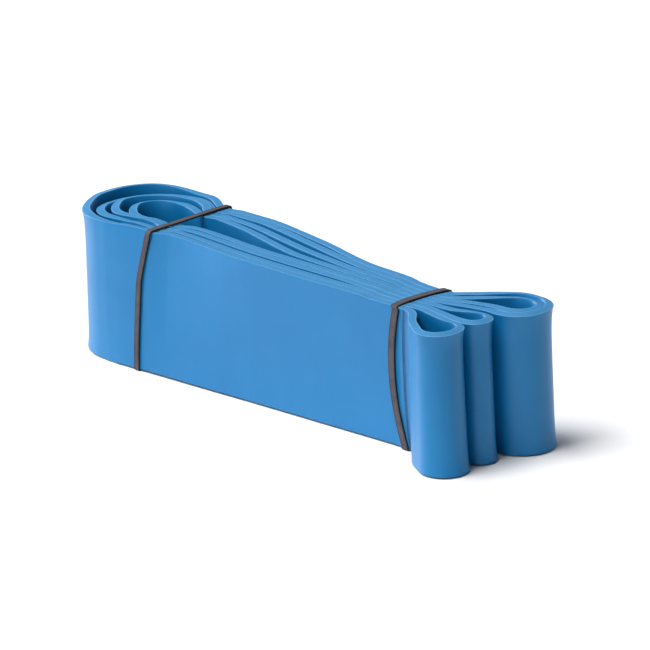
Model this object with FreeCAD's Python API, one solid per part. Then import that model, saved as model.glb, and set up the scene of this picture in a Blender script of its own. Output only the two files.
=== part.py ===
import FreeCAD, Part
import math
import os

# Folded stretching strap: one endless flat loop of layered latex, folded in
# half twice into eight plies and stood on its long edge. Two narrow flat
# rubber bands tie the bundle. Millimetres, +X along the bundle, +Y to the
# back, +Z up. The origin is under the middle of the bundle, on the surface
# that it stands on.

# ---- the loop as it is made ----
strap_width = 64.0
ply_thickness = 4.0

# ---- the two rubber bands ----
band_thickness = 1.0
left_band_width = 3.6
right_band_width = 4.8
band_spacing = 152.0
band_clearance = 0.3
band_corner_radius = 0.3
right_band_travel = 10.0

# ---- how the plies lie side by side ----
ply_gap = 0.1
waist_before_band = 13.0
pack_bend_radius = 60.0

# Clear gaps behind plies 4 to 7, at four evenly spaced stations from the
# left band to the waist. At the waist every gap is ply_gap.
gap_4_5 = [15.5, 10.5, 3.2, 0.1]
gap_5_6 = [0.3, 1.2, 2.6, 1.4]
gap_6_7 = [0.3, 1.7, 2.0, 0.6]
gap_7_8 = [0.3, 0.5, 0.4, 0.1]

# ---- the four nested turns at the left end, ring 1 outermost ----
ring_4_reach = 31.0
ring_3_to_4_gap = 4.0
ring_1_to_2_gap = 6.2
crown_from_band = 13.0
crown_4_rise = 2.6
crown_3_gap = 0.5
crown_2_gap = 0.4
crown_1_gap = 2.0
crown_radius = 20.0
neck_radius = 15.0
ring_4_front_radius = 8.0
ring_3_front_radius = 8.0
ring_2_front_radius = 10.0
ring_1_back_radius = 24.0
ring_4_back_inset = 5.8
ring_3_flat = 0.8

# ---- the three folds at the right end ----
# Distances are from the right band. Each shoulder's is from the start of its
# fold's round end: the front fold's as a share of that end's radius.
front_fold_reach = 48.5
front_fold_radius = 9.6
front_fold_strand_shift = 3.8
front_fold_crease = 8.0
front_fold_crease_radius = 4.0
front_fold_shoulder = 0.43
front_fold_shoulder_radius = 12.0
middle_fold_reach = 46.0
middle_fold_radius = 6.5
middle_fold_opening = 24.0
middle_fold_shoulder = 4.0
back_fold_reach = 54.5
back_fold_radius = 13.2
back_fold_gap = 0.8
strand_opening = 12.0
back_fold_outer_start = 7.0
back_fold_shoulder = 10.3
back_fold_inner_shoulder = 7.8
fold_bend_radius = 10.0
strand_settle = 33.0
strand_bend_radius = 30.0
strand_lead = 1.0

# ---- values worked out from the ones above ----
pitch = ply_thickness + ply_gap
strap_base = band_thickness + band_clearance
waist_start = band_spacing - waist_before_band
station_step = waist_start / len(gap_4_5)
stations = [station_step * index for index in range(len(gap_4_5) + 1)]


def flat_ply(number):
    """Y of a ply's centre where the pack is closed, ply 1 at the front."""
    return ply_thickness / 2 + (number - 1) * pitch


def ply_at(number, station):
    """Y of a ply's centre at a station along the bundle."""
    widths = [gaps + [ply_gap] for gaps in (gap_4_5, gap_5_6, gap_6_7, gap_7_8)]
    extra = sum(widths[index][station] - ply_gap for index in range(number - 4))
    return flat_ply(number) + extra


def back_ply(number):
    """Bends of one of plies 5 to 8, from the left band to the waist."""
    radii = [neck_radius] + [pack_bend_radius] * len(gap_4_5)
    return [(x, ply_at(number, index), radii[index]) for index, x in enumerate(stations)]


# Crown: the highest line of each back ply, just left of the left band.
crown_4 = ply_at(5, 0) + crown_4_rise
crown_3 = crown_4 + ply_thickness + crown_3_gap
crown_2 = crown_3 + ply_thickness + crown_2_gap
crown_1 = crown_2 + ply_thickness + crown_1_gap

# Left-hand line of each ring.
left_4 = -ring_4_reach
left_3 = left_4 - ply_thickness - ring_3_to_4_gap
left_2 = left_3 - pitch
left_1 = left_2 - ply_thickness - ring_1_to_2_gap

# Rings 2 and 3 share their back centre, rings 1 and 2 line up at the front.
ring_3_back_radius = crown_3 - flat_ply(3) - ring_3_front_radius - ring_3_flat
ring_2_back_radius = ring_3_back_radius + pitch
ring_4_back_radius = ring_3_back_radius - pitch - ring_4_back_inset
ring_1_front_radius = ring_2_front_radius + (left_2 - left_1)


def ring(left, front_ply, crown, front_radius, back_radius):
    """Bends of one left turn, from the front ply round to its crown."""
    front = flat_ply(front_ply)
    return [
        (left, front, front_radius),
        (left, crown, back_radius),
        (-crown_from_band, crown, crown_radius),
    ]


def past_band(distance):
    """X of a point to the right of the right band."""
    return band_spacing + distance


def shoulder(reach, radius, distance):
    """X of the bend where a strand levels out before its fold's round end."""
    return past_band(reach - radius - distance)


ring_1 = ring(left_1, 1, crown_1, ring_1_front_radius, ring_1_back_radius)
ring_2 = ring(left_2, 2, crown_2, ring_2_front_radius, ring_2_back_radius)
ring_3 = ring(left_3, 3, crown_3, ring_3_front_radius, ring_3_back_radius)
ring_4 = ring(left_4, 4, crown_4, ring_4_front_radius, ring_4_back_radius)

# Front fold, from ply 2 round the bulb to ply 1, which turns out at a crease.
bulb_back = flat_ply(2) - front_fold_strand_shift
bulb_front = bulb_back - 2 * front_fold_radius
bulb_shoulder = front_fold_radius * front_fold_shoulder
front_shoulder = shoulder(front_fold_reach, front_fold_radius, bulb_shoulder)
front_fold = [
    (past_band(strand_opening), flat_ply(2), strand_bend_radius),
    (past_band(strand_settle), bulb_back, strand_bend_radius),
    (past_band(front_fold_reach), bulb_back, front_fold_radius),
    (past_band(front_fold_reach), bulb_front, front_fold_radius),
    (front_shoulder, bulb_front, front_fold_shoulder_radius),
    (past_band(front_fold_crease), flat_ply(1), front_fold_crease_radius),
]

# Middle fold, from ply 4 round to ply 3, which follows ply 2.
middle_front = bulb_back + pitch
middle_back = middle_front + 2 * middle_fold_radius
middle_shoulder = shoulder(middle_fold_reach, middle_fold_radius, middle_fold_shoulder)
middle_fold = [
    (past_band(middle_fold_opening), flat_ply(4), fold_bend_radius),
    (middle_shoulder, middle_back, fold_bend_radius),
    (past_band(middle_fold_reach), middle_back, middle_fold_radius),
    (past_band(middle_fold_reach), middle_front, middle_fold_radius),
    (past_band(strand_settle + strand_lead), middle_front, strand_bend_radius),
    (past_band(strand_opening + strand_lead), flat_ply(3), strand_bend_radius),
]

# Back fold: plies 8 and 5 go round outside plies 7 and 6.
outer_front = middle_back + ply_thickness + back_fold_gap
outer_back = outer_front + 2 * back_fold_radius
inner_front = outer_front + pitch
inner_back = outer_back - pitch
inner_radius = back_fold_radius - pitch
inner_reach = back_fold_reach - pitch
outer_shoulder = shoulder(back_fold_reach, back_fold_radius, back_fold_shoulder)
inner_shoulder = shoulder(inner_reach, inner_radius, back_fold_inner_shoulder)
outer_fold = [
    (past_band(back_fold_outer_start), flat_ply(8), fold_bend_radius),
    (outer_shoulder, outer_back, fold_bend_radius),
    (past_band(back_fold_reach), outer_back, back_fold_radius),
    (past_band(back_fold_reach), outer_front, back_fold_radius),
    (middle_shoulder, outer_front, fold_bend_radius),
    (past_band(strand_opening), flat_ply(5), fold_bend_radius),
]
inner_fold = [
    (past_band(strand_opening - strand_lead), flat_ply(6), fold_bend_radius),
    (middle_shoulder - strand_lead, inner_front, fold_bend_radius),
    (past_band(inner_reach), inner_front, inner_radius),
    (past_band(inner_reach), inner_back, inner_radius),
    (inner_shoulder, inner_back, fold_bend_radius),
    (past_band(strand_opening), flat_ply(7), fold_bend_radius),
]

# The whole loop in the order that the latex runs.
loop = (
    ring_1
    + back_ply(8)
    + outer_fold
    + back_ply(5)[::-1]
    + ring_4[::-1]
    + middle_fold
    + ring_3
    + back_ply(6)
    + inner_fold
    + back_ply(7)[::-1]
    + ring_2[::-1]
    + front_fold
)


class Bend:
    """One rounded corner of the loop's centre line."""

    def __init__(self, index):
        before = FreeCAD.Vector(*loop[index - 1][:2], 0)
        corner = FreeCAD.Vector(*loop[index][:2], 0)
        after = FreeCAD.Vector(*loop[(index + 1) % len(loop)][:2], 0)
        self.radius = loop[index][2]
        self.way_in = (corner - before).normalize()
        self.way_out = (after - corner).normalize()
        cross = self.way_in.cross(self.way_out).z
        self.turn = math.atan2(cross, self.way_in.dot(self.way_out))
        self.side = math.copysign(1, self.turn)
        reach = self.radius * math.tan(abs(self.turn) / 2)
        self.start = corner - self.way_in * reach
        self.end = corner + self.way_out * reach
        self.centre = self.start + to_left(self.way_in) * self.radius * self.side


def to_left(direction):
    """The direction a quarter turn to the left."""
    return FreeCAD.Vector(-direction.y, direction.x, 0)


smallest_turn = 1e-6
smallest_run = 1e-6
bends = [Bend(index) for index in range(len(loop))]
runs = [(bend, bends[(index + 1) % len(bends)]) for index, bend in enumerate(bends)]


def face_line(offset):
    """Closed wire along one face of the latex, offset to the left of the centre line."""
    edges = []
    for bend, following in runs:
        radius = bend.radius - bend.side * offset
        spoke = (bend.start - bend.centre).normalize() * radius
        points = []
        for share in (0, 0.5, 1):
            swing = FreeCAD.Rotation(FreeCAD.Vector(0, 0, 1), math.degrees(bend.turn) * share)
            points.append(bend.centre + swing.multVec(spoke))
        if abs(bend.turn) > smallest_turn:
            edges.append(Part.Arc(*points).toShape())
        run_end = following.start + to_left(bend.way_out) * offset
        if run_end.distanceToPoint(points[2]) > smallest_run:
            edges.append(Part.LineSegment(points[2], run_end).toShape())
    return Part.Wire(edges)


def centre_length():
    """Length of the loop along its centre line."""
    arcs = sum(abs(bend.turn) * bend.radius for bend in bends)
    return arcs + sum((following.start - bend.end).Length for bend, following in runs)


# ---- build ----
def make_strap():
    """The one latex loop, as a ribbon between its two face lines."""
    faces = [face_line(ply_thickness / 2), face_line(-ply_thickness / 2)]
    section = Part.makeFace(faces, "Part::FaceMakerBullseye")
    section.translate(FreeCAD.Vector(0, 0, strap_base))
    return section.extrude(FreeCAD.Vector(0, 0, strap_width))


def rounded_frame(left, width, back, swell, radius):
    """Box round the bundle at one band, grown by swell, its long edges rounded."""
    corner = FreeCAD.Vector(left, -swell, strap_base - swell)
    box = Part.makeBox(width, back + 2 * swell, strap_width + 2 * swell, corner)
    return box.makeFillet(radius, [edge for edge in box.Edges if abs(edge.tangentAt(0).x) > 0.5])


def bundle_depth(strap, left, right):
    """How far back the bundle reaches between two stations."""
    corner = FreeCAD.Vector(left, 0, strap_base)
    slab = Part.makeBox(right - left, strap.BoundBox.YMax, strap_width, corner)
    return strap.common(slab).BoundBox.YMax


def make_rubber_band(centre, width, back):
    """A flat ring round the bundle: back is the bundle's depth there."""
    left = centre - width / 2
    outer_swell = band_clearance + band_thickness
    outer_radius = band_corner_radius + band_thickness
    outside = rounded_frame(left, width, back, outer_swell, outer_radius)
    inside = rounded_frame(left, width, back, band_clearance, band_corner_radius)
    return outside.cut(inside)


strap = make_strap()
left_half = left_band_width / 2
right_half = right_band_width / 2
left_depth = bundle_depth(strap, -left_half, left_half)
right_depth = bundle_depth(strap, band_spacing - right_band_travel - right_half, band_spacing + right_half)

parts = {
    "strap": strap,
    "left_rubber_band": make_rubber_band(0, left_band_width, left_depth),
    "right_rubber_band": make_rubber_band(band_spacing, right_band_width, right_depth),
}

# Move the model so that the origin is under the middle of its whole box.
box = Part.makeCompound(list(parts.values())).BoundBox
shift = FreeCAD.Vector(-box.Center.x, -box.Center.y, -box.ZMin)
os.makedirs("parts", exist_ok=True)
for name, shape in parts.items():
    shape.translate(shift)
    shape.exportStep(f"parts/{name}.step")
    print(name, "valid" if shape.isValid() else "NOT VALID", round(shape.Volume / 1000, 2), "cm3")

print("centre line of the loop", round(centre_length(), 1), "mm")
print("tightest bend", min(bend.radius for bend in bends), "mm")
print("size", [round(side, 2) for side in (box.XLength, box.YLength, box.ZLength)])
print("shift", [round(value, 3) for value in shift])
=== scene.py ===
import math

import bmesh
import bpy
import numpy as np
from mathutils import Matrix, Vector


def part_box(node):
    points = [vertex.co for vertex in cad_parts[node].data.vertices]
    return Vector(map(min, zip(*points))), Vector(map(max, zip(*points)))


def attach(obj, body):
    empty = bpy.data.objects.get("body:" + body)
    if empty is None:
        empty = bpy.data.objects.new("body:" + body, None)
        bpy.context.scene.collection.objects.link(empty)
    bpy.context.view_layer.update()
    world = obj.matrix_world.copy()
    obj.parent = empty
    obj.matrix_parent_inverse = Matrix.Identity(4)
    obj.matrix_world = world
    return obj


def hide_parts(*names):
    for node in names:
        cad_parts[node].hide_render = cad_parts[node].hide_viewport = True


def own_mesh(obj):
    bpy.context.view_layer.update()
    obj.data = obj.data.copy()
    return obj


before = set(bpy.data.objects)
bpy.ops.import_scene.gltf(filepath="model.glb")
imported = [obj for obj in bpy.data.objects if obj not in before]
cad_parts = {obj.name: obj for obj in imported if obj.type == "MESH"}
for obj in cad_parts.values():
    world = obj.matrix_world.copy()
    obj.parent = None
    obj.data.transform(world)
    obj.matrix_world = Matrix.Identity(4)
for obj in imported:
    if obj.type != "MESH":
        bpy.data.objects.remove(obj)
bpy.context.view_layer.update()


# ------------------------------------------------------------------ the strap
# One endless flat loop of natural latex, built up in thin sheets, cured, and
# trimmed square along both long edges. It is folded in half twice into eight
# plies and stands on its edge, so that the cut edges face up and down.
mm = 0.001
ply_thickness = 4.0 * mm
strap_low, strap_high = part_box("strap")
strap_width = strap_high.z - strap_low.z
left_tie_low, left_tie_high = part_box("left_rubber_band")
right_tie_low, right_tie_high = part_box("right_rubber_band")
left_tie = (left_tie_low.x + left_tie_high.x) / 2
right_tie = (right_tie_low.x + right_tie_high.x) / 2

# The front face of ply 1 lies just behind the bands' front runs.
tie_stand_off = 1.3 * mm
front_face = left_tie_low.y + tie_stand_off


def ease(start, end, values):
    """0 before start, 1 after end, and a smooth rise between them."""
    share = np.clip((values - start) / (end - start), 0, 1)
    return share * share * (3 - 2 * share)


def rounded(values, spread):
    """A closed run of values, evened out over the given number of steps."""
    reach = int(4 * spread)
    weights = np.exp(-0.5 * (np.arange(-reach, reach + 1) / spread) ** 2)
    ends = np.concatenate([values[-reach:], values, values[:reach]])
    return np.convolve(ends, weights / weights.sum(), "valid")


# The loop's line is walked on a merged copy of the strap's own solid, round
# the outer rim of its top edge, and moved in to the middle of the latex.
solid = bmesh.new()
solid.from_mesh(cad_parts["strap"].data)
bmesh.ops.remove_doubles(solid, verts=solid.verts, dist=0.001 * mm)
solid.normal_update()
beside, facing = {}, {}
for edge in solid.edges:
    walls = [face for face in edge.link_faces if abs(face.normal.z) < 0.1]
    tops = [face for face in edge.link_faces if face.normal.z > 0.9]
    if len(walls) == 1 and len(tops) == 1:
        for vert in edge.verts:
            beside.setdefault(vert, []).append(edge.other_vert(vert))
            facing.setdefault(vert, Vector()).xyz += walls[0].normal
rim = [min(beside, key=lambda vert: vert.co.x)]
rim.append(beside[rim[0]][0])
while rim[-1] is not rim[0]:
    ahead = [vert for vert in beside[rim[-1]] if vert is not rim[-2]]
    rim.append(ahead[0])
half_ply = ply_thickness / 2
line = np.array([vert.co - facing[vert].normalized() * half_ply for vert in rim])
solid.free()

# Columns stand at even steps along that line.
column_step = 1.2 * mm
strides = np.linalg.norm(np.diff(line[:, :2], axis=0), axis=1)
travelled = np.concatenate([[0], np.cumsum(strides)])
column_count = round(travelled[-1] / column_step)
stops = np.arange(column_count) * travelled[-1] / column_count
line_softening = 1.6
line_x = rounded(np.interp(stops, travelled, line[:, 0]), line_softening)
line_y = rounded(np.interp(stops, travelled, line[:, 1]), line_softening)


def change(values):
    """How fast a closed run of values changes along the loop."""
    return (np.roll(values, -1) - np.roll(values, 1)) / (2 * column_step)


along_x, along_y = change(line_x), change(line_y)
pace = np.hypot(along_x, along_y)
side_x, side_y = -along_y / pace, along_x / pace
turning = (along_x * change(along_y) - along_y * change(along_x)) / pace ** 3
turning_softening = 3.5
turning = rounded(turning, turning_softening)


def grown(sheet, edges, shift):
    """Draws a row of edges out by shift; gives back its new verts and its new edges."""
    made = bmesh.ops.extrude_edge_only(sheet, edges=edges)["geom"]
    fresh = {item for item in made if isinstance(item, bmesh.types.BMVert)}
    bmesh.ops.translate(sheet, verts=list(fresh), vec=shift)
    far = [
        item for item in made
        if isinstance(item, bmesh.types.BMEdge) and fresh.issuperset(item.verts)
    ]
    return fresh, far


# The ribbon is drawn up from the loop's line row by row, closer together
# near the two cut edges, where the latex curls.
row_heights = [
    0, 0.9, 1.9, 3.1, 4.6, 6.6, 9.5, 14, 20, 28,
    36, 44, 50, 54.5, 57.4, 59.4, 60.9, 62.1, 63.1, 64,
]
ribbon = bmesh.new()
column = ribbon.verts.layers.int.new("column")
ring = [ribbon.verts.new((x, y, strap_low.z)) for x, y in zip(line_x, line_y)]
for number, vert in enumerate(ring):
    vert[column] = number
rising = [ribbon.edges.new((a, b)) for a, b in zip(ring, ring[1:] + ring[:1])]
for below, above in zip(row_heights, row_heights[1:]):
    lift = (above - below) * strap_width / row_heights[-1]
    rising = grown(ribbon, rising, (0, 0, lift))[1]
bmesh.ops.recalc_face_normals(ribbon, faces=ribbon.faces)
strap = bpy.data.objects.new("Strap", bpy.data.meshes.new("Strap"))
bpy.context.collection.objects.link(strap)
ribbon.to_mesh(strap.data)
ribbon.free()

# Where every point of the ribbon is: x past the left band, y behind the front
# face, rise from 0 at the lower cut edge to 1 at the upper one. From here on
# stations, depths and amounts are in mm, and every shift adds to the last.
vert_count = len(strap.data.vertices)
spots = np.empty(vert_count * 3)
strap.data.vertices.foreach_get("co", spots)
spots = spots.reshape(-1, 3)
number = np.empty(vert_count, int)
strap.data.attributes["column"].data.foreach_get("value", number)
x = (spots[:, 0] - left_tie) / mm
y = (spots[:, 1] - front_face) / mm
rise = np.clip((spots[:, 2] - strap_low.z) / strap_width, 0, 1)
depth_from_top = (1 - rise) * strap_width / mm
height_from_base = rise * strap_width / mm
band_spacing = (right_tie - left_tie) / mm

# Bent latex curls the other way across its width, so both cut edges of every
# turn flare out, and the middle of the tight right-hand folds pulls in.
full_bend = 0.03
sharpness = (turning * mm) ** 4
bent = np.sign(turning) * sharpness / (sharpness + full_bend ** 4)
bent_softening = 6.0
bent = rounded(bent, bent_softening)[number]
curl_reach, top_flare, base_flare, fold_waist = 4.2, 1.5, 0.8, 1.3
top_curl = top_flare * np.exp(-depth_from_top / curl_reach)
base_curl = base_flare * np.exp(-height_from_base / curl_reach)
left_ends = 1 - ease(-30, -10, x)
right_ends = ease(band_spacing + 12, band_spacing + 22, x)
curl = -bent * (left_ends + right_ends) * (top_curl + base_curl - fold_waist * right_ends)
spots[:, 0] += curl * side_x[number] * mm
spots[:, 1] += curl * side_y[number] * mm


def stretches(inside):
    """Each unbroken stretch of the loop where inside holds, as its column numbers in order."""
    start = int(np.flatnonzero(~inside)[0])
    order = np.roll(np.arange(column_count), -start)
    marks = inside[order]
    breaks = np.flatnonzero(np.diff(marks.astype(int))) + 1
    return [part for part in np.split(order, breaks) if inside[part[0]]]


def ranked(parts):
    """For every point of the ribbon, the place from 1 up of the part it is in, or 0."""
    ranks = np.zeros(column_count, int)
    for rank, part in enumerate(parts):
        ranks[part] = rank + 1
    return ranks[number]


# The four nested rings past the left band, outermost first, and the folds past
# the right one: front, middle, then the back fold's outer and inner turns.
rings = sorted(stretches(line_x < left_tie), key=lambda part: line_x[part].min())
folds = sorted(stretches(line_x > right_tie), key=lambda part: line_y[part].min())
ring_of = ranked(rings)
fold_of = ranked(folds)

# Rings 3 and 4 stand a little inside ring 2 round their front, so that a dark
# slit shows between rings 2 and 3.
ring_centre = (-16, 23)
inward_x, inward_y = ring_centre[0] - x, ring_centre[1] - y
never_zero = 0.001
inward = np.hypot(inward_x, inward_y) + never_zero
slit_width = 1.7
slit = slit_width * (ring_of > 2) * (1 - ease(14, 27, y)) * (1 - ease(-6, -0.5, x))

# Round their back, ring 3 lies against ring 2, and ring 4's left end reaches
# out towards ring 3. Rings 1 and 3 stand a little above ring 2 there.
behind = ease(10, 22, y) * (1 - ease(-9, 0, x))
ring_3_out, ring_4_out = 2.1, 2.6
ring_4_end = 1 - ease(-38, -22, x)
outwards = behind * (ring_3_out * (ring_of == 3) + ring_4_out * (ring_of == 4) * ring_4_end)
spots[:, 0] += (slit - outwards) * inward_x / inward * mm
spots[:, 1] += (slit - outwards) * inward_y / inward * mm
ring_3_up, ring_1_up = 0.9, 1.0
ring_1_end = 1 - ease(-48, -30, x)
raised_rings = ring_3_up * (ring_of == 3) + ring_1_up * (ring_of == 1) * ring_1_end
spots[:, 2] += raised_rings * behind * rise ** 4 * mm

# The front strands nod back left of the band, and the inner ones stand lower
# there than the outermost, which is first in the list after a 0 for no ring.
nodding = ease(-44, -34, x) * (1 - ease(-2, 8, x)) * (1 - ease(16, 24, y)) * (ring_of > 0)
nod, nod_reach = 0.6, 3.6
spots[:, 1] += nod * nodding * np.exp(-depth_from_top / nod_reach) * mm
sunk = np.array([0, 0, 0.65, 0.45, 1.5])[ring_of]
spots[:, 2] -= sunk * nodding * rise ** 4 * mm

# Between the bands, plies 3 and 4 stand a little apart from plies 1 and 2.
apart = 0.9
plies_3_4 = ease(7.4, 8.6, y) * (1 - ease(18, 22, y))
spots[:, 1] += apart * plies_3_4 * ease(6, 16, x) * (1 - ease(105, 130, x)) * mm

# The back fold's inner turn is slightly loose in its outer one.
loose = 0.7
turn_end = ease(band_spacing + 14, band_spacing + 26, x)
spots[:, 1] += loose * (fold_of == 4) * (1 - ease(26, 38, y)) * turn_end * mm

# The bands press the back plies forward, and those swell between the bands.
left_press, left_press_reach, swell = 2.6, 9, 1.3
right_press, right_press_reach = 0.065, 16
pressed = left_press * np.exp(-((x + 2) / left_press_reach) ** 2)
pressed -= swell * ease(12, 30, x) * (1 - ease(70, 100, x))
pressed *= ease(28, 40, y)
pressed += right_press * y * np.exp(-((x - band_spacing) / right_press_reach) ** 2)
spots[:, 1] -= pressed * mm

# The front fold's own front strand bellies out between its crease and its end.
front_first = line_y[folds[0][0]] < line_y[folds[0][-1]]
front_fold = folds[0] if front_first else folds[0][::-1]
belly_from, belly_to, belly_depth = 10, 38, 1.0
strand = np.full(column_count, -1.0)
strand[front_fold] = np.arange(len(front_fold)) * column_step / mm
strand = np.clip((strand[number] - belly_from) / (belly_to - belly_from), 0, 1)
belly = belly_depth * np.sin(math.pi * strand) ** 2
outward = np.sign(side_y[number]) * -1
spots[:, 0] += belly * outward * side_x[number] * mm
spots[:, 1] += belly * outward * side_y[number] * mm

# Each fold's round end is held in, and its foot spreads. The front fold is the
# narrowest, and tapers from its flank to its end.
front_fold_end = line_x[folds[0]].max() / mm - left_tie / mm
front_flank = band_spacing + 12
front_share_x = (x - front_flank) / (front_fold_end - front_flank)
which_fold = [fold_of == 1, fold_of == 2]
front_out, front_taper, middle_in, back_in = 2.0, 4.2, 0.8, 0.4
held_in = np.select(
    which_fold,
    [front_out - front_taper * front_share_x, -middle_in * right_ends],
    -back_in * right_ends,
)
front_foot, foot_taper, middle_foot, back_foot, most_spread = 0.8, 3.0, 2.8, 0.6, 4
spread_base = np.select(
    which_fold,
    [front_foot + foot_taper * front_share_x, middle_foot * right_ends],
    back_foot * right_ends,
)
spread_base = np.clip(spread_base, 0, most_spread) * (1 - rise) ** 1.5
spots[:, 0] += (held_in + spread_base) * ease(band_spacing + 6, band_spacing + 13, x) * mm
foot_forward = 1.6
front_two = (fold_of == 1) + (fold_of == 2)
spots[:, 1] -= foot_forward * right_ends * front_two * (1 - rise) ** 2 * mm

# The front plies are not upright: they lean back just right of the left band,
# and ring 1 bulges forward left of it, most at its upper edge.
lean_stations = [-50, -40, -33, -26, -19, -12, -6, 0, 5, 9, 20, 32, 45, 57, 80, 100, 130, 152, 170]
top_lean = [
    0, -1.6, -3.2, -3.8, -3.2, -2.2, -1.3, -0.8, 1.0, 1.9,
    1.7, 1.0, -0.1, -0.7, -0.8, -0.6, 0, 0.5, 0,
]
base_lean = [
    0, -0.8, -1.9, -2.9, -3.3, -3.2, -3.0, -2.8, -2.7, -2.6,
    -2.4, -2.1, -1.6, -1.2, -0.7, -0.3, 0.3, 0.8, 0.0,
]
low_lean = np.interp(x, lean_stations, base_lean)
high_lean = np.interp(x, lean_stations, top_lean)
leaning = low_lean + (high_lean - low_lean) * rise
own_lean = np.where(ring_of > 1, ease(-9, 0, x), 1.0)
front_share = 1 - ease(17, 42, y)
front_share = np.maximum(front_share, ease(90, 115, x))
front_share = np.where(x < 0, 1 - ease(6, 24, y), front_share)
spots[:, 1] += leaning * front_share * own_lean * mm

# The lower edge rests on the surface past both bands and nearly so between
# them, and the bands nip the top edge a little.
between = ease(-22, -15, x) * (1 - ease(band_spacing + 6, band_spacing + 16, x))
full_drop, held_up = 0.9, 0.42
drop = full_drop - held_up * between
left_nip, right_nip = 0.3, 0.6
at_left = ease(-9, -4, x) * (1 - ease(4, 9, x))
at_right = ease(band_spacing - 22, band_spacing - 14, x)
at_right *= 1 - ease(band_spacing + 6, band_spacing + 14, x)
nip = left_nip * at_left + right_nip * at_right

# The top edge waves slightly up and down, less between the bands. Each wave
# has a height, a number of turns round the loop, and a lag.
loop_turn = number * 2 * math.pi / column_count
waves = [(0.16, 7, 1.0), (0.12, 17, 0.0), (0.08, 31, 2.0)]
uneven = sum(tall * np.sin(turns * loop_turn + lag) for tall, turns, lag in waves)
calmer = 0.55
uneven *= 1 - calmer * between
spots[:, 2] += (uneven * rise - drop - nip * rise ** 8) * mm

strap.data.vertices.foreach_set("co", spots.ravel())
strap.data.update()

# The ribbon gets its thickness, a little less than the ply's so that the slits
# between plies show.
slit_allowance = 0.18 * mm
thicken = strap.modifiers.new("Thickness", "SOLIDIFY")
thicken.thickness = ply_thickness - slit_allowance
thicken.offset = 0
thicken.use_even_offset = True
thicken.material_offset_rim = 1


class Finish:
    """A material: node() adds any shader node, and its sockets take part in plain arithmetic."""

    def __init__(self, name):
        self.material = bpy.data.materials.new(name)
        self.material.use_nodes = True
        self.tree = self.material.node_tree
        self.tree.nodes.clear()

    def node(self, kind, settings=None, **inputs):
        made = self.tree.nodes.new("ShaderNode" + kind)
        for name, value in (settings or {}).items():
            setattr(made, name, value)
        for name, value in inputs.items():
            socket = self.socket(made, name)
            if isinstance(value, Line):
                self.tree.links.new(value.socket, socket)
            else:
                socket.default_value = value
        return made

    @staticmethod
    def socket(made, name):
        """An input by its label, spaces written as underscores, or by its place, as in at_0."""
        if name.startswith("at_"):
            return made.inputs[int(name[3:])]
        return made.inputs[name.replace("_", " ")]

    def out(self, made, name=0):
        return Line(self, made.outputs[name])

    def where(self):
        return self.out(self.node("TexCoord"), "Object")

    def share(self, name):
        return self.out(self.node("Attribute", {"attribute_name": name}), "Fac")

    def noise(self, vector, scale, detail=3.0, roughness=0.55):
        made = self.node("TexNoise", Vector=vector, Scale=scale, Detail=detail, Roughness=roughness)
        return self.out(made, "Fac")

    def stretched(self, vector, sizes):
        made = self.node("VectorMath", {"operation": "MULTIPLY"}, at_0=vector, at_1=sizes)
        return self.out(made)

    def blend(self, share, first, second):
        """One colour turning into another as share goes from 0 to 1."""
        made = self.node("Mix", {"data_type": "RGBA"}, at_0=share)
        for end, colour in ((made.inputs[6], first), (made.inputs[7], second)):
            if isinstance(colour, Line):
                self.tree.links.new(colour.socket, end)
            else:
                end.default_value = (*colour, 1)
        return self.out(made, 2)

    def raised(self, height, depth, under=None):
        """A bump of the given depth in metres, on top of another one if there is one."""
        inputs = {"Height": height, "Distance": depth, "Strength": 1.0}
        if under is not None:
            inputs["Normal"] = under
        return self.out(self.node("Bump", **inputs))

    def surface(self, **inputs):
        shader = self.node("BsdfPrincipled", **inputs)
        end = self.node("OutputMaterial")
        self.tree.links.new(shader.outputs[0], end.inputs[0])
        return self.material


class Line:
    """A shader socket that adds Math nodes when it is used in an expression."""

    def __init__(self, finish, socket):
        self.finish = finish
        self.socket = socket

    def maths(self, operation, first, second=0.0):
        made = self.finish.node("Math", {"operation": operation}, at_0=first, at_1=second)
        return Line(self.finish, made.outputs[0])

    def __add__(self, other):
        return self.maths("ADD", self, other)

    def __radd__(self, other):
        return self.maths("ADD", other, self)

    def __sub__(self, other):
        return self.maths("SUBTRACT", self, other)

    def __rsub__(self, other):
        return self.maths("SUBTRACT", other, self)

    def __mul__(self, other):
        return self.maths("MULTIPLY", self, other)

    def __truediv__(self, other):
        return self.maths("DIVIDE", self, other)

    def __abs__(self):
        return self.maths("ABSOLUTE", self)

    def above(self, start, end):
        """0 below start and 1 above end, for a start below its end."""
        ramp = (self - start) / (end - start)
        return self.maths("MINIMUM", self.maths("MAXIMUM", ramp, 0.0), 1.0)

    def sine(self):
        return self.maths("SINE", self)


# Moulded face: satin latex, even in colour, with a faint bloom on its skin.
latex_blue = (0.003, 0.200, 0.480)
latex_deep = (0.002, 0.178, 0.440)
latex_bloom_and_highlight = (0.030, 0.250, 0.520)
latex_painted_shade = (0.001, 0.060, 0.190)
skin = Finish("Latex skin")
spot = skin.where()
cloud = skin.noise(spot, 22.0, 4.0)
grain = skin.noise(spot, 2600.0, 2.0)
speck = skin.node("TexVoronoi", {"feature": "F1"}, Vector=spot, Scale=420.0)
speck = skin.out(speck, "Distance")
skin_colour = skin.blend(cloud.above(0.35, 0.75), latex_deep, latex_blue)
bloom = skin.noise(spot, 75.0, 5.0).above(0.52, 0.8)
skin_colour = skin.blend(bloom * 0.16, skin_colour, latex_bloom_and_highlight)
skin_colour = skin.blend((1 - speck.above(0.03, 0.07)) * 0.25, skin_colour, latex_deep)
ripple = skin.noise(skin.stretched(spot, (26.0, 26.0, 3.0)), 1.0, 2.0)
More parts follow.
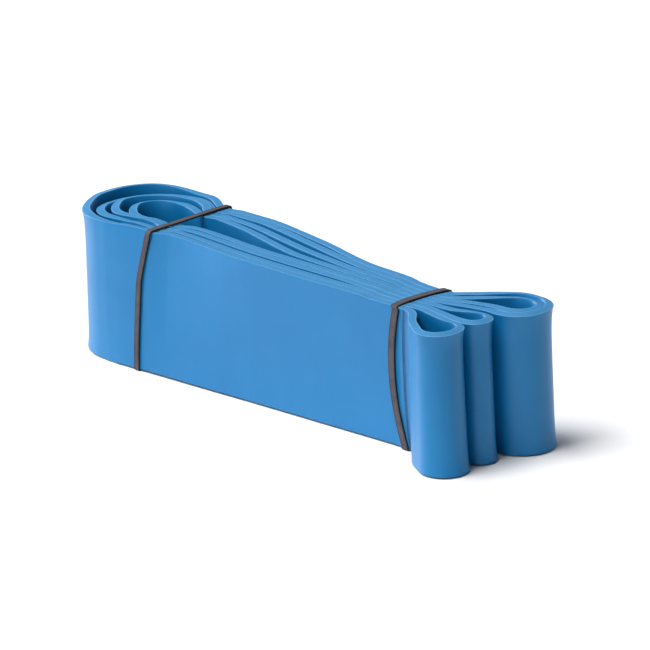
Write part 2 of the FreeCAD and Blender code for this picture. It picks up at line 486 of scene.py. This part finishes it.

# The front ply is creased from top to bottom where it turns out of the right
# band into the front fold. The crease bows right towards its two ends, and
# fine puckers run beside it. Its groove and the flank right of it get painted shade, and the strip
# left of it a painted highlight.
crease_middle = 38 * mm
split = skin.node("SeparateXYZ", Vector=spot)
past_tie = (skin.out(split, 0) - right_tie) / mm
from_front = (skin.out(split, 1) - front_face) / mm
from_waist = (skin.out(split, 2) - crease_middle) / crease_middle
wander = skin.noise(skin.stretched(spot, (60.0, 60.0, 18.0)), 1.0, 3.0)
past_crease = past_tie - (7.0 + from_waist * from_waist * 3.2) + (wander - 0.5) * 2.4
on_front = 1 - from_front.above(1.0, 3.5)
groove = (1 - abs(past_crease).above(0.15, 1.3)) * on_front
flank = past_crease.above(-0.5, 0.5) * (1 - past_crease.above(1.0, 5.5)) * on_front
strip = past_tie.above(2.5, 4.0) * (1 - past_crease.above(-1.5, -0.2)) * on_front
fine_folds = skin.noise(skin.stretched(spot, (900.0, 900.0, 40.0)), 1.0, 2.0)
puckers = (groove + strip + flank) * fine_folds
# Painted highlight: the strip beside the crease is made paler.
skin_colour = skin.blend(strip * 0.18, skin_colour, latex_bloom_and_highlight)
# Painted shade: the flank and the groove of the crease are made darker.
skin_colour = skin.blend(flank * 0.45, skin_colour, latex_painted_shade)
skin_colour = skin.blend(groove * 0.75, skin_colour, latex_painted_shade)
skin_height = skin.raised(ripple, 0.25 * mm, skin.raised(puckers * 0.6 - groove, 1.0 * mm))
skin_normal = skin.raised(grain, 0.02 * mm, skin_height)
skin.surface(
    Base_Color=skin_colour,
    Roughness=0.33 + cloud * 0.10 + grain * 0.06,
    Specular_IOR_Level=0.4,
    Normal=skin_normal,
)

# Cut edge: a knife has opened the layers, so fine lines run along it. Just inside each face runs a
# painted highlight, and along the very edge, where plies meet, a painted shade line.
cut_blue = (0.040, 0.225, 0.470)
cut_line = (0.008, 0.120, 0.310)
cut_pale_and_highlight = (0.160, 0.420, 0.680)
cut_painted_seam_shade = (0.001, 0.040, 0.140)
cut = Finish("Latex cut edge")
spot = cut.where()
across = cut.share("across")
waver = cut.noise(spot, 55.0, 3.0)
layer_count = 9
layer_wave = ((across + waver * 0.05) * (layer_count * 2 * math.pi)).sine()
layer_line = layer_wave.above(0.55, 1.0)
from_middle = abs(across - 0.5)
edge_highlight_band = from_middle.above(0.36, 0.42)
seam_shade_band = from_middle.above(0.455, 0.49)
cut_colour = cut.blend(layer_line * (0.15 + waver * 0.5), cut_blue, cut_line)
# Painted highlight: a paler band near both faces of the cut.
cut_colour = cut.blend(edge_highlight_band * 0.75, cut_colour, cut_pale_and_highlight)
cut_specks = cut.noise(spot, 900.0, 3.0).above(0.5, 0.8)
# Pale specks in the cut, in the same colour as the painted highlight.
cut_colour = cut.blend(cut_specks * 0.20, cut_colour, cut_pale_and_highlight)
# Painted shade: a dark line at the very edges, where the plies meet.
cut_colour = cut.blend(seam_shade_band * 0.9, cut_colour, cut_painted_seam_shade)
rough_cut = cut.raised(cut.noise(spot, 1500.0, 3.0), 0.05 * mm)
cut_normal = cut.raised(layer_wave, 0.02 * mm, rough_cut)
cut.surface(
    Base_Color=cut_colour,
    Roughness=0.50 + waver * 0.14,
    Specular_IOR_Level=0.3,
    Normal=cut_normal,
)

strap.data.materials.append(skin.material)
strap.data.materials.append(cut.material)
shaped = strap.evaluated_get(bpy.context.evaluated_depsgraph_get())
thick_strap = bpy.data.meshes.new_from_object(shaped)
strap.modifiers.clear()
strap.data = thick_strap

# A share runs from one face to the other across the cut edges, which their
# layers follow.
across_share = np.repeat([0.0, 1.0], vert_count)
strap.data.attributes.new("across", "FLOAT", "POINT").data.foreach_set("value", across_share)
strap.data.attributes.remove(strap.data.attributes["column"])
strap.data.shade_smooth()

eased_edge = strap.modifiers.new("Eased edge", "BEVEL")
eased_edge.width = 0.4 * mm
eased_edge.segments = 2
eased_edge.limit_method = "ANGLE"
eased_edge.angle_limit = math.radians(55)
even_light = strap.modifiers.new("Even light", "WEIGHTED_NORMAL")
even_light.weight = 100
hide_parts("strap")
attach(strap, "strap")

# ---------------------------------------------------- the two rubber bands
# Narrow flat rings of dark rubber, cut from tube, stretched round the bundle
# to hold it folded. Nothing else fixes them: each can be slid along the strap.
tie_thickness = 0.75 * mm
rubber_grey = (0.058, 0.048, 0.056)
rubber_dust = (0.135, 0.118, 0.128)
rubber_dark = (0.012, 0.011, 0.013)
rubber = Finish("Dark rubber")
spot = rubber.where()
dust = rubber.noise(spot, 160.0, 5.0, 0.65)
powder = rubber.noise(spot, 1400.0, 3.0)
toward_edges = rubber.share("edge")
rubber_colour = rubber.blend(dust.above(0.35, 0.75) * 0.6, rubber_grey, rubber_dust)
rubber_colour = rubber.blend(powder.above(0.5, 0.75) * 0.25, rubber_colour, rubber_dust)
# The band is made darker towards both of its edges.
rubber_colour = rubber.blend(toward_edges.above(0.55, 1.0) * 0.85, rubber_colour, rubber_dark)
rubber_normal = rubber.raised(powder, 0.04 * mm, rubber.raised(dust, 0.15 * mm))
rubber.surface(
    Base_Color=rubber_colour,
    Roughness=0.58 + powder * 0.2,
    Specular_IOR_Level=0.4,
    Normal=rubber_normal,
)


def make_tie(name, body, centre_x, width, path):
    """A flat ring through path: x past its centre, y behind the front face, and height, in mm."""
    tie = bmesh.new()
    edge_share = tie.verts.layers.float.new("edge")
    start = [
        tie.verts.new((centre_x + along * mm - width / 2, front_face + back * mm, height * mm))
        for along, back, height in path
    ]
    open_edge = [tie.edges.new((a, b)) for a, b in zip(start, start[1:] + start[:1])]
    for vert in start:
        vert[edge_share] = 1.0
    strips = 4
    for strip in range(strips):
        fresh, open_edge = grown(tie, open_edge, (width / strips, 0, 0))
        for vert in fresh:
            vert[edge_share] = abs(2 * (strip + 1) / strips - 1)
    bmesh.ops.recalc_face_normals(tie, faces=tie.faces)
    ring_mesh = bpy.data.meshes.new(name)
    tie.to_mesh(ring_mesh)
    tie.free()
    piece = bpy.data.objects.new(name, ring_mesh)
    bpy.context.collection.objects.link(piece)
    ring_mesh.materials.append(rubber.material)
    smooth = piece.modifiers.new("Smooth run", "SUBSURF")
    smooth.levels = 2
    smooth.render_levels = 2
    body_of_rubber = piece.modifiers.new("Thickness", "SOLIDIFY")
    body_of_rubber.thickness = tie_thickness
    body_of_rubber.offset = 0
    eased = piece.modifiers.new("Eased edge", "BEVEL")
    eased.width = 0.15 * mm
    eased.segments = 2
    eased.limit_method = "ANGLE"
    eased.angle_limit = math.radians(50)
    shaped_tie = piece.evaluated_get(bpy.context.evaluated_depsgraph_get())
    finished = bpy.data.meshes.new_from_object(shaped_tie)
    piece.modifiers.clear()
    piece.data = finished
    finished.shade_smooth()
    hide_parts(body)
    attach(piece, body)
    return piece


# The finished strap's surface, as x past the left band, y behind the front
# face and height, which the bands' upright runs lie against.
outside = np.empty(len(thick_strap.vertices) * 3)
thick_strap.vertices.foreach_get("co", outside)
outside = outside.reshape(-1, 3) / mm - (left_tie / mm, front_face / mm, 0)


def strap_face(station, height, side):
    """The strap's foremost (side -1) or rearmost (side 1) y near a station and a height."""
    near_along, near_up = 3.0, 7.0
    near = abs(outside[:, 0] - station) < near_along
    near &= abs(outside[:, 2] - height) < near_up
    return float((outside[near, 1] * side).max() * side)


tie_gap = 0.12
half_tie = tie_thickness / mm / 2
clearance = tie_gap + half_tie
top_sink, under_gap = 0.30, 0.02
on_top = strap_high.z / mm - top_sink + half_tie
under = under_gap + half_tie
back_heights = (10, 25, 40, 55, 62)


def front_run(station, run):
    """A band's front run, foot first, from its x and height pairs, top first."""
    return [
        (along, strap_face(station + along, height, -1) - clearance, height)
        for along, height in reversed(run)
    ]


# The bands turn under the strap in two short steps: the toe and the heel are
# where a band's front and back runs end.
corner_height, corner_low = 0.9, under + 0.02
corner_in, corner_run = 0.4, 1.8

# The left band's front run has slipped to the left towards its foot.
left_back = max(strap_face(0, height, 1) for height in back_heights)
left_run = [
    (0.0, 64.3), (-0.5, 62.3), (-1.4, 59), (-3.2, 52), (-4.5, 46.5), (-5.5, 42),
    (-6.0, 36), (-6.6, 26), (-7.3, 14), (-7.6, 6), (-7.7, 2.0),
]
left_toe = strap_face(-7.7, 2.0, -1) - clearance
left_heel = strap_face(-3.2, 4.0, 1) + clearance
left_path = front_run(0.0, left_run) + [
    (0.0, -0.7, on_top - 0.25),
    (0.1, 0.6, on_top),
    (0.2, 8, on_top),
    (0.2, 20, on_top - 0.1),
    (0.0, 34, on_top),
    (0.0, left_back - 0.8, on_top),
    (0.0, left_back + half_tie, on_top - 0.4),
    (0.0, left_back + clearance, on_top - 1.6),
    (-0.6, strap_face(-0.6, 52, 1) + clearance, 52),
    (-2.0, strap_face(-2.0, 33, 1) + clearance, 33),
    (-3.0, strap_face(-3.0, 14, 1) + clearance, 14),
    (-3.2, left_heel, 2.4),
    (-3.2, left_heel, corner_height),
    (-3.3, left_heel - corner_in, corner_low),
    (-3.4, left_heel - corner_run, under),
    (-5.0, 34, under),
    (-6.3, 16, under),
    (-7.6, left_toe + corner_run, under),
    (-7.7, left_toe + corner_in, corner_low),
    (-7.7, left_toe, corner_height),
]
left_width = 3.0 * mm
left_rubber = make_tie("Left_rubber_band", "left_rubber_band", left_tie, left_width, left_path)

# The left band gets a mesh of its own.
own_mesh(left_rubber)

# The right band bows: its front run hangs left of plumb and kicks right at
# the foot, where the front fold pushes it out.
right_back = max(strap_face(band_spacing + 2, height, 1) for height in back_heights)
right_top = on_top - 0.65
right_heel = right_back + clearance
right_run = [
    (3.0, 63.9), (2.6, 61.6), (1.2, 57), (-0.4, 47), (-0.8, 36),
    (-0.3, 27), (1.4, 17), (4.4, 8), (7.0, 2.0),
]
right_toe = strap_face(band_spacing + 7.0, 2.0, -1) - clearance
right_path = front_run(band_spacing, right_run) + [
    (2.0, -0.5, right_top - 0.25),
    (1.6, 0.8, right_top),
    (0.4, 9, right_top),
    (0.6, 17, right_top),
    (1.2, 24, right_top),
    (2.4, right_back - 1, right_top),
    (2.6, right_back + half_tie, right_top - 0.4),
    (2.6, right_heel, right_top - 1.6),
    (2.0, right_heel, 48),
    (1.8, right_heel, 30),
    (2.4, right_heel, 12),
    (2.8, right_heel, 2.4),
    (2.8, right_heel, corner_height),
    (2.9, right_heel - corner_in, corner_low),
    (3.0, right_heel - corner_run, under),
    (3.6, 18, under),
    (6.8, right_toe + corner_run, under),
    (7.0, right_toe + corner_in, corner_low),
    (7.0, right_toe, corner_height),
]
right_width = 3.8 * mm
make_tie("Right_rubber_band", "right_rubber_band", right_tie, right_width, right_path)


# ------------------------------------------------- floor, light and camera
# A plain white paper floor under soft studio light: a panel overhead, a weak
# broad one in front, a strong low one behind on the left, a weaker one behind
# on the right, and a faint fill all round.
floor_mesh = bmesh.new()
half_floor = 6.0
bmesh.ops.create_grid(floor_mesh, x_segments=1, y_segments=1, size=half_floor)
floor = bpy.data.objects.new("Floor", bpy.data.meshes.new("Floor"))
floor_mesh.to_mesh(floor.data)
floor_mesh.free()
bpy.context.collection.objects.link(floor)
paper = Finish("White paper")
paper.surface(Base_Color=(0.92, 0.92, 0.92, 1), Roughness=0.9, Specular_IOR_Level=0.1)
floor.data.materials.append(paper.material)

room = bpy.data.worlds.new("Room")
room.use_nodes = True
fill = room.node_tree.nodes["Background"]
fill.inputs["Color"].default_value = (1, 1, 1, 1)
fill.inputs["Strength"].default_value = 0.08
bpy.context.scene.world = room

# The camera stands far off with a long lens, and is rolled a little.
view_side = math.radians(47.0)
view_down = math.radians(18.4)
view_roll = 0.03
view_distance = 12.0
seen_width = 0.65 / 2.3
sensor = 36.0
level = Vector((math.cos(view_side), math.sin(view_side), 0))
toward_camera = Vector((math.sin(view_side), -math.cos(view_side), 0))
looking = Vector((
    -math.sin(view_side) * math.cos(view_down),
    math.cos(view_side) * math.cos(view_down),
    -math.sin(view_down),
))
upright = level.cross(looking)
right = level * math.cos(view_roll) - upright * math.sin(view_roll)
up = level * math.sin(view_roll) + upright * math.cos(view_roll)
mid_height = 33 * mm
lamp_aim_height = 0.03
aim = Vector((0, 0, mid_height)) + right * 10.0 * mm + up * 1.5 * mm


def area_light(name, stand, size, power, colour=(1, 1, 1)):
    """A square soft light that looks at the middle of the object."""
    lamp = bpy.data.lights.new(name, "AREA")
    lamp.shape = "SQUARE"
    lamp.size = size
    lamp.energy = power
    lamp.color = colour
    holder = bpy.data.objects.new(name, lamp)
    bpy.context.collection.objects.link(holder)
    holder.location = stand
    facing_middle = (Vector((0, 0, lamp_aim_height)) - stand).to_track_quat("-Z", "Y")
    holder.rotation_euler = facing_middle.to_euler()


def stood(sideways, forward, height):
    """A place in metres: to the camera's right, towards the camera, and up."""
    return level * sideways + toward_camera * forward + Vector((0, 0, height))


area_light("Overhead", stood(-0.55, 0.2, 1.9), 1.0, 43)
area_light("Front", stood(-1.3, 1.2, 1.0), 2.0, 13)
area_light("Left", stood(-1.9, -1.6, 0.4), 1.2, 60, (1.0, 0.93, 0.96))
area_light("Right", stood(1.6, -1.9, 0.5), 1.0, 22, (1.0, 0.96, 0.96))

camera = bpy.data.objects.new("Camera", bpy.data.cameras.new("Camera"))
bpy.context.collection.objects.link(camera)
camera.data.sensor_width = sensor
camera.data.lens = view_distance * sensor / seen_width
camera.data.clip_end = 50
turned = Matrix((right, up, -looking)).transposed().to_4x4()
camera.matrix_world = Matrix.Translation(aim - looking * view_distance) @ turned
bpy.context.scene.camera = camera
bpy.context.scene.view_settings.view_transform = "Standard"
